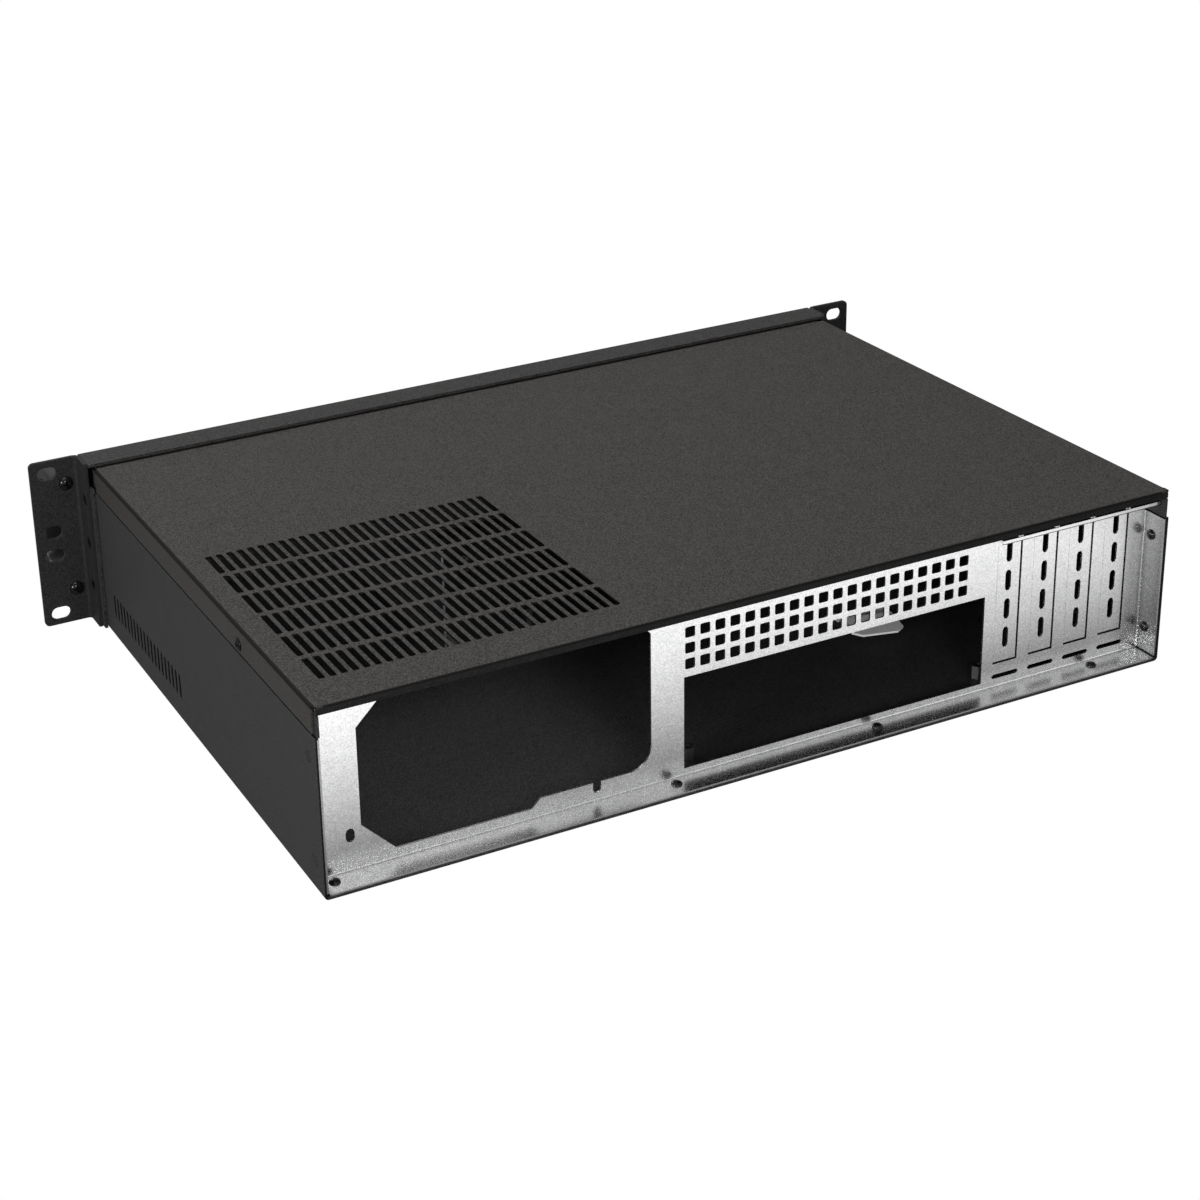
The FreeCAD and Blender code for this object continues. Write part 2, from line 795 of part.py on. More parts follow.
def fasteners():
    length = handle_screw_depth - screw_end_gap + ear_sheet
    seats = [V(handle_x, ear_y, z) for z in (handle_screw_z, handle_screw_z + handle_screw_pitch)]
    long = [screw(handle_screw_r, length, handle_screw_head_r, handle_screw_head, seat, Y) for seat in seats]
    nodes["handle_screws"] = Part.makeCompound(long + [mirrored(s) for s in long])

    flush = []
    seat = ear_screw_head_r - ear_screw_r
    for y, z in screw_places():
        face = V(ear_flange_x, y, z)
        body = turned([(ear_screw_r, -ear_screw_length), (ear_screw_r, -seat), (ear_screw_head_r, 0.0)],
                      face, X, screw_sides)
        flush.append(body.cut(cross_cut(face, ear_screw_head_r, seat * 0.65, X)))
    nodes["ear_screws"] = Part.makeCompound(flush + [mirrored(s) for s in flush])

    y = ear_y + cover_screw_y
    face = V(side_x, y, cover_held_z)
    held = screw(cover_screw_r, cover_screw_length, cover_screw_head_r, cover_screw_head, face, X)
    nodes["cover_screws"] = Part.makeCompound([held, mirrored(held)])

    places = [(V(step_in_x, y, cover_held_z), cover_screw_r)]
    places += [(V(side_in_x, y, z), ear_screw_r) for y, z in screw_places()]
    nuts = []
    for face, r in places:
        ring = bar(nut_r, face - X * nut_height, face, nut_sides)
        nuts.append(ring.cut(bar(r, face - X * (nut_height + 1.0), face + X, screw_sides)))
    nodes["clinch_nuts"] = Part.makeCompound(nuts + [mirrored(s) for s in nuts])


def rivet(outside, out):
    # The flat foot is flush with the outer sheet, and the dome closes on the inner sheet
    through = 2.0 * sheet
    return turned(
        [(rivet_foot_r, 0.0), (rivet_foot_r, rivet_foot), (rivet_r, rivet_foot), (rivet_r, through),
         (rivet_dome_r, through), (rivet_dome_r, through + rivet_dome * 0.3),
         (rivet_dome_r * 0.55, through + rivet_dome)],
        outside, out * -1.0, rivet_sides)


def rivets():
    nodes["floor_rivets"] = Part.makeCompound([rivet(V(x, rivet_y, 0), -Z) for x in rivet_places()])
    sides = [rivet(tray_side(1.0, rivet_y, z), X) for z in rivet_z]
    nodes["side_rivets"] = Part.makeCompound(sides + [mirrored(s) for s in sides])


def standoff_places():
    x = window_left - board_window_gap
    y = rear_panel_in - board_edge_gap
    return [(x - c, y - r) for c in board_columns for r in board_rows]


def standoffs():
    posts = []
    across = standoff_flats / math.sqrt(3.0)
    for x, y in standoff_places():
        seat = V(x, y, floor_z)
        post = turned([(across, 0.0), (across, standoff_height)], seat, Z, 6)
        foot = bar(standoff_foot_r, V(x, y, flush_gap), seat, screw_sides)
        top = floor_z + standoff_height
        bore = rod(standoff_bore_r, V(x, y, top - standoff_bore), V(x, y, top + 1.0))
        posts.append(post.fuse(foot).cut(bore))
    nodes["standoffs"] = Part.makeCompound(posts)


def cage_screw_places():
    reach = cage_inner / 2.0 + sheet + cage_foot / 2.0
    front = ear_y + cage_front
    return [(cage_x + way * reach, front + y) for way in (1.0, -1.0) for y in cage_screw_y]


def drive_cage():
    mid = sheet / 2.0
    wall = cage_inner / 2.0 + mid
    foot = wall + mid + cage_foot
    line = [(foot, floor_z + mid), (wall, floor_z + mid), (wall, cage_height - mid)]
    line += [(-x, z) for x, z in reversed(line)]
    front = ear_y + cage_front
    cage = folded(line, sheet, bend, V(cage_x, front, 0), X, Z, Y * cage_length)
    cuts = []
    for y in cage_hole_y:
        for side in (1.0, -1.0):
            face = V(cage_x + side * (wall + mid), front + y, floor_z + cage_hole_z)
            cuts.append(rod(cage_hole_r, face + X * side, face - X * (side * (sheet + 1.0))))
    screws = []
    for x, y in cage_screw_places():
        face = V(x, y, floor_z + sheet)
        cuts.append(hole_through(cage_screw_r + screw_gap, face, Z, sheet - 0.5, screw_sides))
        length = face.z - flush_gap
        screws.append(screw(cage_screw_r, length, cage_screw_head_r, cage_screw_head, face, Z, False))
    nodes["drive_cage"] = without(cage, cuts)
    nodes["cage_screws"] = Part.makeCompound(screws)


def cross_brace():
    mid = sheet / 2.0
    top = cover_under - brace_gap - mid
    low = cover_under - brace_gap - brace_height + mid
    y = ear_y + brace_y
    wall = brace_width / 2.0 - mid
    half = [(wall + mid + brace_lip, low), (wall, low), (wall, top)]
    line = [(y + a, z) for a, z in half] + [(y - a, z) for a, z in reversed(half)]
    nodes["cross_brace"] = folded(line, sheet, bend, V(-step_in_x, 0, 0), Y, Z, X * (2.0 * step_in_x))


def floor_plate():
    mid = sheet / 2.0
    y0 = ear_y + plate_y
    y1 = y0 + plate_length
    raised = floor_z + plate_rise + mid
    low = floor_z + mid
    line = [(y0, low), (y0 + plate_foot, low), (y0 + plate_foot + plate_rise, raised), (y1, raised)]
    left = plate_x - plate_width / 2.0
    tongue = folded(line, sheet, bend, V(left, 0, 0), Y, Z, X * plate_width)
    r = plate_corner
    outline = [V(left, y0, 0), V(left + plate_width, y0, 0), V(left + plate_width, y1 - r, 0),
               V(left + plate_width - r, y1, 0), V(left + r, y1, 0), V(left, y1 - r, 0)]
    plate = tongue.common(prism(outline, Z * (raised + sheet)))
    plate.rotate(V(plate_x, y1, 0), Z, -plate_turn)
    nodes["floor_plate"] = plate


def button(radius, z, out, edge, collar, tip):
    # A round cap with its collar behind the panel and a stem into the switch
    back = panel_in_y + stem_gap
    front = panel_y - out
    steps = [(radius - edge, front), (radius, front + edge), (radius, back), (radius + collar, back),
             (radius + collar, back + button_flange), (stem_r, back + button_flange), (stem_r, tip)]
    return turned([(r, y - front) for r, y in steps], V(control_x, front, z), Y, button_sides)


def controls():
    board_y = panel_in_y + board_gap
    left = control_x - board_margin
    right = control_x + socket_x + board_right
    switch_front = board_y - switch_depth
    h = switch_size / 2.0
    for name, r, z, out, edge, travel in (
            ("power", power_r, power_z, power_out, power_edge, power_travel),
            ("reset", reset_r, reset_z, reset_out, reset_edge, reset_travel)):
        tip = board_y - switch_floor - stem_end_gap - travel
        nodes[name + "_button"] = button(r, z, out, edge, button_flange_edge, tip)
        body = block(control_x - h, control_x + h, switch_front, board_y, z - h, z + h)
        start = V(control_x, switch_front - 1.0, z)
        bore = bar(stem_r + stem_gap, start, V(control_x, board_y - switch_floor, z), button_sides)
        nodes[name + "_switch"] = body.cut(bore)

    lights = []
    for p in light_places():
        length = board_y - p.y + light_out
        steps = [(light_r - light_edge, 0.0), (light_r, light_edge), (light_r, length)]
        lights.append(turned(steps, p - Y * light_out, Y, screw_sides))
    nodes["power_light"] = lights[0]
    nodes["drive_light"] = lights[1]

    shells = []
    w = socket_width / 2.0
    d = socket_height / 2.0
    t = socket_wall
    e = w - socket_tongue_side
    for p in socket_places():
        body = block(p.x - w, p.x + w, p.y, board_y, p.z - d, p.z + d)
        end = p.y + socket_depth
        hollow = block(p.x - w + t, p.x + w - t, p.y - 1.0, end, p.z - d + t, p.z + d - t)
        low = p.z + socket_tongue_z
        tongue = block(p.x - e, p.x + e, p.y + socket_tongue_in, end + flush_gap, low, low + socket_tongue)
        shells.append(body.cut(hollow).fuse(tongue).removeSplitter())
    nodes["data_sockets"] = Part.makeCompound(shells)

    posts = []
    screws = []
    holes = []
    for x in (left + post_inset, right - post_inset):
        for z in (board_low + post_inset, board_high - post_inset):
            seat = V(x, board_y, z)
            back = V(x, board_y + board_sheet, z)
            bore = bar(post_screw_r, back - Y * post_screw_length, back, screw_sides)
            posts.append(bar(post_r, V(x, panel_in_y, z), seat, screw_sides).cut(bore))
            holes.append(hole_through(post_screw_r + screw_gap, back, Y, board_sheet, screw_sides))
            screws.append(screw(
                post_screw_r, post_screw_length, post_screw_head_r, post_screw_head, back, Y, False))
    board = block(left, right, board_y, board_y + board_sheet, board_low, board_high)
    nodes["control_board"] = without(board, holes)
    nodes["board_posts"] = Part.makeCompound(posts)
    nodes["board_screws"] = Part.makeCompound(screws)


base_tray()
top_cover()
rear_panel()
front_panel()
ears()
handles()
fasteners()
rivets()
standoffs()
drive_cage()
cross_brace()
floor_plate()
controls()

os.makedirs("parts", exist_ok=True)
for name, shape in nodes.items():
    solid(shape).exportStep("parts/" + name + ".step")
    good = all(s.isValid() and s.isClosed() for s in shape.Solids)
    volume = round(shape.Volume / 1000.0, 2)
    print(name, len(shape.Solids), "solids", volume, "cm3", "ok" if good else "NOT VALID")
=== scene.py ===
import json
import math

import bmesh
import bpy
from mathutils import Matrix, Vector


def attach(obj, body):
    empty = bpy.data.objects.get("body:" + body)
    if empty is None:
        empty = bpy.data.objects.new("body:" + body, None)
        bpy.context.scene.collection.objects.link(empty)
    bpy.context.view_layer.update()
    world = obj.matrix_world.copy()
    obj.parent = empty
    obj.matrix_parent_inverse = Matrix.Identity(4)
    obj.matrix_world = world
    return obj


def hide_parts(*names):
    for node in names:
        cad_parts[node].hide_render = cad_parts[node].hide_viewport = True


# The empty rackmount case, dressed: sheets with soft edges, powder coat, galvanised steel,
# screws and rivets. Metres, unless a comment says millimetres.
# The front faces -Y, the rear +Y, and Z is up from the underside.

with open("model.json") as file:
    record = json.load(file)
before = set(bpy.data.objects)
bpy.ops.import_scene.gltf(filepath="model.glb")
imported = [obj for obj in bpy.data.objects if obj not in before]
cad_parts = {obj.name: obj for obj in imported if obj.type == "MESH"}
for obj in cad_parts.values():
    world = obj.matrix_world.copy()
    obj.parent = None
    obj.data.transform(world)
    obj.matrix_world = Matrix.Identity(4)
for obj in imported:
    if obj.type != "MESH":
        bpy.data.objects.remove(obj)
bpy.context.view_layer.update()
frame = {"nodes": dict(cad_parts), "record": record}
nodes = frame["nodes"]
slot_of = {part["node"]: part["material_slot"] for part in frame["record"]["subparts"]}

MM = 0.001
CHASSIS = "chassis"
SIDES = (1.0, -1.0)
QUARTER = 0.5 * math.pi


def linked(name, data):
    # A new object in the scene
    thing = bpy.data.objects.new(name, data)
    bpy.context.scene.collection.objects.link(thing)
    return thing


# Camera: the photograph's place and lens, fitted to the rack spacing, the board window
# and the corners
camera_data = bpy.data.cameras.new("photo_camera")
camera_data.lens = 70.43
camera_data.sensor_width = 36.0
camera_data.shift_x = 0.1288
camera_data.shift_y = -0.1461
camera_data.clip_start = 0.01
camera_data.clip_end = 50.0
camera = linked("photo_camera", camera_data)
camera.location = (0.49995, 0.92913, 0.52271)
camera.rotation_euler = (1.196264, 0.037755, 2.697653)
bpy.context.scene.camera = camera


# Helpers for node trees
def add(tree, kind, inputs, **settings):
    # A node with its settings and inputs; an input is a value, an output of another node,
    # or a list of outputs. What comes back is the node's first output.
    node = tree.nodes.new(kind)
    for key, value in settings.items():
        setattr(node, key, value)
    for key, value in inputs.items():
        for item in value if isinstance(value, list) else [value]:
            if isinstance(item, bpy.types.NodeSocket):
                tree.links.new(item, node.inputs[key])
            else:
                node.inputs[key].default_value = item
    return node.outputs[0]


def number(tree, operation, a, b):
    return add(tree, "ShaderNodeMath", {0: a, 1: b}, operation=operation)


def product(tree, a, b):
    return number(tree, "MULTIPLY", a, b)


def remap(tree, value, start, end, low=0.0, high=1.0):
    # From low to high as the value goes from start to end
    return add(tree, "ShaderNodeMapRange", {
        "Value": value, "From Min": start, "From Max": end, "To Min": low, "To Max": high})


def spread(tree, value, low, high):
    # A value from 0 to 1 spread between two others
    return remap(tree, value, 0.0, 1.0, low, high)


def object_place(tree):
    return tree.nodes.new("ShaderNodeTexCoord").outputs["Object"]


def along(tree, axis):
    # The place along one of the object's own axes
    split = tree.nodes.new("ShaderNodeSeparateXYZ")
    tree.links.new(object_place(tree), split.inputs["Vector"])
    return split.outputs[axis]


def band(tree, axis, start, end, low=0.0, high=1.0):
    # From low to high as the distance from the middle along an axis goes from start to end
    out = add(tree, "ShaderNodeMath", {0: along(tree, axis)}, operation="ABSOLUTE")
    return remap(tree, out, start, end, low, high)


def noise(tree, scale, detail=4.0, roughness=0.5):
    # Noise on the object's own coordinates, so that it has its real size
    return add(tree, "ShaderNodeTexNoise", {
        "Vector": object_place(tree), "Scale": scale, "Detail": detail, "Roughness": roughness})


def ramp(tree, value, stops):
    node = tree.nodes.new("ShaderNodeValToRGB")
    elements = node.color_ramp.elements
    while len(elements) < len(stops):
        elements.new(0.5)
    for element, (at, colour) in zip(elements, stops):
        element.position = at
        element.color = (colour[0], colour[1], colour[2], 1.0)
    tree.links.new(value, node.inputs["Fac"])
    return node.outputs["Color"]


def grey_ramp(tree, value, stops):
    return ramp(tree, value, [(at, (grey, grey, grey)) for at, grey in stops])


def scaled(tree, colour, share):
    return add(tree, "ShaderNodeVectorMath", {0: colour, "Scale": share}, operation="SCALE")


def bump(tree, shader, height, distance):
    raised = add(tree, "ShaderNodeBump", {
        "Strength": 1.0, "Distance": distance, "Height": height})
    tree.links.new(raised, shader.inputs["Normal"])


# Materials. A scale is in cells per metre, a height in metres; a band is where a share
# fades in or out, in metres from the middle of the case.
SPECKLE_SCALE = 2300.0
PEEL_SCALE = 1600.0
SHINE_SCALE = 60.0
SPANGLE_SCALE = 1900.0
CLOUD_SCALE = 35.0
CLOUD_SHARE = 0.22
RIPPLE_SCALE = 900.0
RIPPLE_HEIGHT = 0.000003
PLASTIC_SCALE = 2200.0
PLASTIC_HEIGHT = 0.00002
# Bands and shares where shade is painted: the cover's rear lip and bends, the inward wings of the
# zinc, the lower part of the ledge's rear edge, and the vent walls
LIP_SHADE_BAND = (0.1672, 0.1678)
BEND_BAND_X = (0.2120, 0.2124)
BEND_BAND_Z = (0.0857, 0.0861)
WING_SHADE_BAND = (0.2085, 0.2118)
LEDGE_SHADE_Y = (0.1640, 0.1645)
LEDGE_SHADE_LOW = (0.0790, 0.0791)
LEDGE_SHADE_HIGH = (0.0798, 0.0800)
VENT_WALL_SHADE_SHARE = 0.12
LEDGE_SHADE_SHARE = 0.12


def new_material(name):
    material = bpy.data.materials.new(name)
    material.use_nodes = True
    tree = material.node_tree
    return material, tree, tree.nodes["Principled BSDF"]


def vent_wall_shade(tree, axis, outside, other, limit):
    # One inside the thickness of a sheet whose outer face is at outside along one axis, as far as
    # limit along the other: the vent walls, where shade is painted
    inner = band(tree, axis, outside - 0.0012, outside - 0.0010)
    outer = band(tree, axis, outside - 0.0003, outside - 0.0002, 1.0, 0.0)
    near = band(tree, other, limit, limit + 0.001, 1.0, 0.0)
    return product(tree, product(tree, inner, outer), near)


def powder_coat(name, colour, roughness, grain=0.00003, shift=0.14, gloss=0.12,
                lip_shade=1.0, bend=1.0, punched=None):
    # Fine powder coat: an orange peel of about half a millimetre under a finer speckle
    material, tree, shader = new_material(name)
    dark = [c * (1.0 - shift) for c in colour]
    light = [c * (1.0 + shift) for c in colour]
    paint = ramp(tree, noise(tree, SPECKLE_SCALE, 1.0), [(0.38, dark), (0.62, light)])
    # Painted shade on the cover's rear lip, which faces away from the lights
    share = band(tree, "Y", *LIP_SHADE_BAND, 1.0, lip_shade)
    if bend < 1.0:
        # Darker along the bends, which turn away from the lights
        fold = product(tree, band(tree, "X", *BEND_BAND_X), band(tree, "Z", *BEND_BAND_Z))
        share = product(tree, share, spread(tree, fold, 1.0, bend))
    if punched:
        # Painted shade on the walls of the vents
        wall_shade = vent_wall_shade(tree, *punched)
        share = product(tree, share, spread(tree, wall_shade, 1.0, VENT_WALL_SHADE_SHARE))
    tree.links.new(scaled(tree, paint, share), shader.inputs["Base Color"])
    rough = spread(tree, noise(tree, SHINE_SCALE), roughness - 0.05, roughness + 0.05)
    tree.links.new(rough, shader.inputs["Roughness"])
    bump(tree, shader, noise(tree, PEEL_SCALE, 2.0), grain)
    shader.inputs["Specular IOR Level"].default_value = gloss
    return material


def ledge_edge_shade(tree):
    # One on the lower part of the ledge's shorn rear edge, where a line of painted shade goes
    low = band(tree, "Z", *LEDGE_SHADE_LOW)
    high = band(tree, "Z", *LEDGE_SHADE_HIGH, 1.0, 0.0)
    rear = band(tree, "Y", *LEDGE_SHADE_Y)
    return product(tree, product(tree, low, high), rear)


def galvanised(name, colour, roughness, spangle=0.22, metallic=1.0, wing_shade=1.0):
    # Zinc coated steel: a fine spangle over a soft cloud, with painted shade on the wings that
    # face inwards and a line of painted shade along the lower part of the ledge's rear edge
    material, tree, shader = new_material(name)
    cells = tree.nodes.new("ShaderNodeTexVoronoi")
    cells.inputs["Scale"].default_value = SPANGLE_SCALE
    tree.links.new(object_place(tree), cells.inputs["Vector"])
    crystals = add(tree, "ShaderNodeRGBToBW", {"Color": cells.outputs["Color"]})
    cloud = noise(tree, CLOUD_SCALE, 5.0, 0.6)
    surface = add(tree, "ShaderNodeMix", {
        "Factor": CLOUD_SHARE, "A": crystals, "B": cloud}, data_type="FLOAT")
    dark = [c * (1.0 - spangle) for c in colour]
    light = [min(c * (1.0 + spangle), 1.0) for c in colour]
    zinc = ramp(tree, surface, [(0.2, dark), (0.8, light)])
    # Painted shade on the wings that face inwards, for their dim reflections
    zinc = scaled(tree, zinc, band(tree, "X", *WING_SHADE_BAND, 1.0, wing_shade))
    # A line of painted shade under the ledge's bright rear edge
    zinc = scaled(tree, zinc, spread(tree, ledge_edge_shade(tree), 1.0, LEDGE_SHADE_SHARE))
    tree.links.new(zinc, shader.inputs["Base Color"])
    rough = spread(tree, surface, roughness - 0.02, roughness + 0.03)
    tree.links.new(rough, shader.inputs["Roughness"])
    shader.inputs["Metallic"].default_value = metallic
    bump(tree, shader, noise(tree, RIPPLE_SCALE, 2.0), RIPPLE_HEIGHT)
    return material


def mottled(name, colour, darker, scale, roughness, rough_scale, less, more):
    # A plain colour that fades to a darker share of it, and a roughness that varies
    material, tree, shader = new_material(name)
    dark = [c * darker for c in colour]
    shade = ramp(tree, noise(tree, scale), [(0.3, dark), (0.7, colour)])
    tree.links.new(shade, shader.inputs["Base Color"])
    rough = spread(tree, noise(tree, rough_scale), roughness - less, roughness + more)
    tree.links.new(rough, shader.inputs["Roughness"])
    return material, tree, shader


def plain_metal(name, grey, roughness):
    # Bare steel, a little uneven
    material, tree, shader = mottled(name, grey, 0.9, 400.0, roughness, 800.0, 0.05, 0.08)
    shader.inputs["Metallic"].default_value = 1.0
    return material


def glossy_black(name, colour, roughness):
    # Black fasteners with a hard shine
    material, tree, shader = mottled(name, colour, 0.7, 900.0, roughness, 700.0, 0.04, 0.06)
    shader.inputs["Specular IOR Level"].default_value = 0.3
    return material


def moulded(name, colour, roughness):
    # Moulded plastic with a fine grain
    material, tree, shader = mottled(name, colour, 0.92, 300.0, roughness, 500.0, 0.04, 0.06)
    bump(tree, shader, noise(tree, PLASTIC_SCALE, 2.0), PLASTIC_HEIGHT)
    return material


finishes = {
    # The cover paint has painted shade on its rear lip, bends and vent walls; the base paint on
    # its vent walls
    "cover_paint": powder_coat(
        "cover_paint", (0.0352, 0.0333, 0.0319), 0.55, shift=0.8, lip_shade=0.2, bend=0.12,
        punched=("Z", 0.0876, "X", 0.2085)),
    "base_paint": powder_coat(
        "base_paint", (0.030, 0.030, 0.031), 0.55, shift=0.7,
        punched=("X", 0.2135, "Z", 0.076)),
    "front_paint": powder_coat("front_paint", (0.030, 0.029, 0.0285), 0.55, shift=0.7),
    "ear_paint": powder_coat("ear_paint", (0.019, 0.019, 0.0203), 0.5, shift=0.5),
    "handle_paint": powder_coat(
        "handle_paint", (0.012, 0.012, 0.012), 0.35, grain=0.00001, shift=0.1, gloss=0.4),
    "brace_paint": powder_coat("brace_paint", (0.02, 0.02, 0.02), 0.55),
    "galvanised": galvanised("galvanised", (0.86, 0.865, 0.87), 0.27, wing_shade=0.42),
    "cage_steel": galvanised("cage_steel", (0.50, 0.51, 0.52), 0.45),
    # Painted light: the plate deep in the case is made pale and dull, standing in for light that
    # hardly reaches it
    "plate_steel": galvanised("plate_steel", (0.9, 0.9, 0.9), 0.5, spangle=0.1, metallic=0.0),
    "black_screw": glossy_black("black_screw", (0.006, 0.006, 0.0062), 0.16),
    "black_rivet": glossy_black("black_rivet", (0.005, 0.005, 0.0055), 0.12),
    "plain_screw": plain_metal("plain_screw", (0.7, 0.7, 0.7), 0.25),
    "nut_steel": plain_metal("nut_steel", (0.35, 0.35, 0.35), 0.4),
    "standoff_steel": plain_metal("standoff_steel", (0.30, 0.30, 0.30), 0.35),
    "button_plastic": moulded("button_plastic", (0.02, 0.02, 0.02), 0.45),
    "switch_plastic": moulded("switch_plastic", (0.03, 0.03, 0.03), 0.5),
    "light_plastic": moulded("light_plastic", (0.55, 0.75, 0.6), 0.15),
    "socket_metal": plain_metal("socket_metal", (0.62, 0.62, 0.64), 0.25),
    "board_green": moulded("board_green", (0.03, 0.16, 0.07), 0.3),
}
for name, thing in nodes.items():
    thing.data.materials.clear()
    thing.data.materials.append(finishes[slot_of[name]])


# Sheets: each is a welded copy of the pressed sheet, changed where the solids are plainer,
# with punched corners rounded and cut edges softened
def rounded_outline(half_width, half_length, radius, steps):
    # The outline of a box with rounded corners, turning from the first axis to the second
    points = []
    for quarter, (a, b) in enumerate(((1.0, 1.0), (-1.0, 1.0), (-1.0, -1.0), (1.0, -1.0))):
        for step in range(steps + 1):
            turn = QUARTER * (quarter + step / steps)
            points.append((
                a * (half_width - radius) + radius * math.cos(turn),
                b * (half_length - radius) + radius * math.sin(turn)))
    return points


def tight_step(work):
    # The step under the cover's edge is pressed sharp, so that the seam reads as a dark line
    inside = 0.2105
    low, high = 0.0705, 0.0752
    sharp_top = 0.0741
    kept_height = 0.12
    for vert in work.verts:
        if abs(vert.co.x) > inside and low < vert.co.z < high:
            vert.co.z = sharp_top - (high - vert.co.z) * kept_height


def proud_edge(work):
    # The shorn rear edge of the ledge stands a little proud, as a bright line under the cover
    ledge_end = 0.165
    low, high = 0.0803, 0.0807
    proud = 0.0008
    for vert in work.verts:
        if abs(vert.co.y - ledge_end) < 0.00005 and low < vert.co.z < high:
            vert.co.z += proud


# The vents of the cover, in millimetres
VENT_FIRST_X = 200.3
VENT_FIRST_Y = 136.5
VENT_PITCH = 5.0
VENT_ROW_PITCH = 22.8
VENT_COUNT = 28
VENT_ROWS = 6
VENT_WIDTH = 3.1
VENT_LENGTH = 19.9
VENT_ROUND = 1.1
VENT_STEPS = 4
CUT_LOW = 85.5
CUT_HIGH = 89.0


def vent_cutter():
    # One block for each vent, with rounded corners, through the top of the cover
    outline = rounded_outline(VENT_WIDTH / 2.0, VENT_LENGTH / 2.0, VENT_ROUND, VENT_STEPS)
    count = len(outline)
    points = []
    faces = []
    for row in range(VENT_ROWS):
        for column in range(VENT_COUNT):
            x = VENT_FIRST_X - column * VENT_PITCH
            y = VENT_FIRST_Y - row * VENT_ROW_PITCH
            low = len(points)
            high = low + count
            for z in (CUT_LOW, CUT_HIGH):
                points += [((x + a) * MM, (y + b) * MM, z * MM) for a, b in outline]
            faces.append(tuple(reversed(range(low, high))))
            faces.append(tuple(range(high, high + count)))
            for i in range(count):
                j = (i + 1) % count
                faces.append((low + i, low + j, high + j, high + i))
    mesh = bpy.data.meshes.new("vent_cutter")
    mesh.from_pydata(points, [], faces)
    return linked("vent_cutter", mesh)


def wide_vents(work):
    # The vents are cut a little wider than the solids have them, as the photograph shows
    uncut = bpy.data.meshes.new("uncut_cover")
    work.to_mesh(uncut)
    blank = linked("uncut_cover", uncut)
    cutter = vent_cutter()
    cut = blank.modifiers.new("wide_vents", "BOOLEAN")
    cut.operation = "DIFFERENCE"
    cut.solver = "EXACT"
    cut.object = cutter
    graph = bpy.context.evaluated_depsgraph_get()
    made = bpy.data.meshes.new_from_object(blank.evaluated_get(graph))
    bpy.data.objects.remove(blank)
    bpy.data.objects.remove(cutter)
    work.clear()
    work.from_mesh(made)
    bpy.data.meshes.remove(made)


def across_sheet(edge, axis, thick, low, high):
    # An edge that runs through the sheet along one axis, with its middle inside a box
    a, b = (v.co for v in edge.verts)
    run = b - a
    middle = (a + b) / 2.0
    through = abs(abs(run[axis]) - thick) < 0.0001 and run.length < thick * 1.1
    return through and all(low[i] * MM <= middle[i] <= high[i] * MM for i in range(3))


def soft_sheet(name, node, width, change=None, rounds=()):
    mesh = nodes[node].data.copy()
    mesh.name = name
    sheet = linked(name, mesh)
    work = bmesh.new()
    work.from_mesh(mesh)
    bmesh.ops.remove_doubles(work, verts=work.verts, dist=0.000002)
    bmesh.ops.dissolve_limit(
        work, angle_limit=math.radians(0.5), verts=work.verts, edges=work.edges,
        use_dissolve_boundaries=False)
    if change:
        change(work)
    for axis, thick, radius, low, high in rounds:
        corners = [e for e in work.edges if across_sheet(e, axis, thick * MM, low, high)]
        bmesh.ops.bevel(
            work, geom=corners, offset=radius * MM, segments=4, affect="EDGES",
            profile=0.5, clamp_overlap=True)
    work.to_mesh(mesh)
    work.free()
    mesh.shade_smooth()
    soft = sheet.modifiers.new("cut_edges", "BEVEL")
    soft.width = width
    soft.segments = 2
    soft.limit_method = "ANGLE"
    soft.angle_limit = math.radians(40.0)
    flat = sheet.modifiers.new("flat_faces", "WEIGHTED_NORMAL")
    flat.keep_sharp = True
    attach(sheet, CHASSIS)
    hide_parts(node)


# Where punched corners are rounded, in millimetres: the axis through the sheet, its
# thickness, the radius, and the two ends of the box that holds the holes
RIGHT_SIDE_VENTS = (0, 1.0, 0.5, (212.0, -101.0, 11.0), (214.0, -1.0, 27.0))
LEFT_SIDE_VENTS = (0, 1.0, 0.5, (-214.0, -101.0, 11.0), (-212.0, -1.0, 27.0))
GRILLE = (1, 1.0, 0.8, (-112.0, 153.0, 53.0), (38.0, 156.0, 75.0))
FRONT_VENTS = (1, 1.5, 2.4, (-60.0, -136.0, 12.0), (190.0, -133.0, 78.0))

soft_sheet("cover_sheet", "top_cover", 0.00022, wide_vents)
soft_sheet(
    "tray_sheet", "base_tray", 0.00022, tight_step, [RIGHT_SIDE_VENTS, LEFT_SIDE_VENTS])
soft_sheet("rear_sheet", "rear_panel", 0.00028, proud_edge, [GRILLE])
soft_sheet("front_sheet", "front_panel", 0.00025, None, [FRONT_VENTS])
soft_sheet("right_ear_plate", "ear_right", 0.00030)
soft_sheet("left_ear_plate", "ear_left", 0.00030)


# Handles: a bar with rounded edges, bent in two true arcs, in millimetres
HANDLE_X = 223.5
HANDLE_BACK = -134.0
HANDLE_FRONT = -168.0
HANDLE_LOW = 14.0
HANDLE_HIGH = 79.5
HANDLE_BEND = 18.0
HANDLE_HALF_WIDTH = 7.0
HANDLE_HALF_THICK = 4.0
HANDLE_EDGE = 2.0
BEND_STEPS = 14
EDGE_STEPS = 4


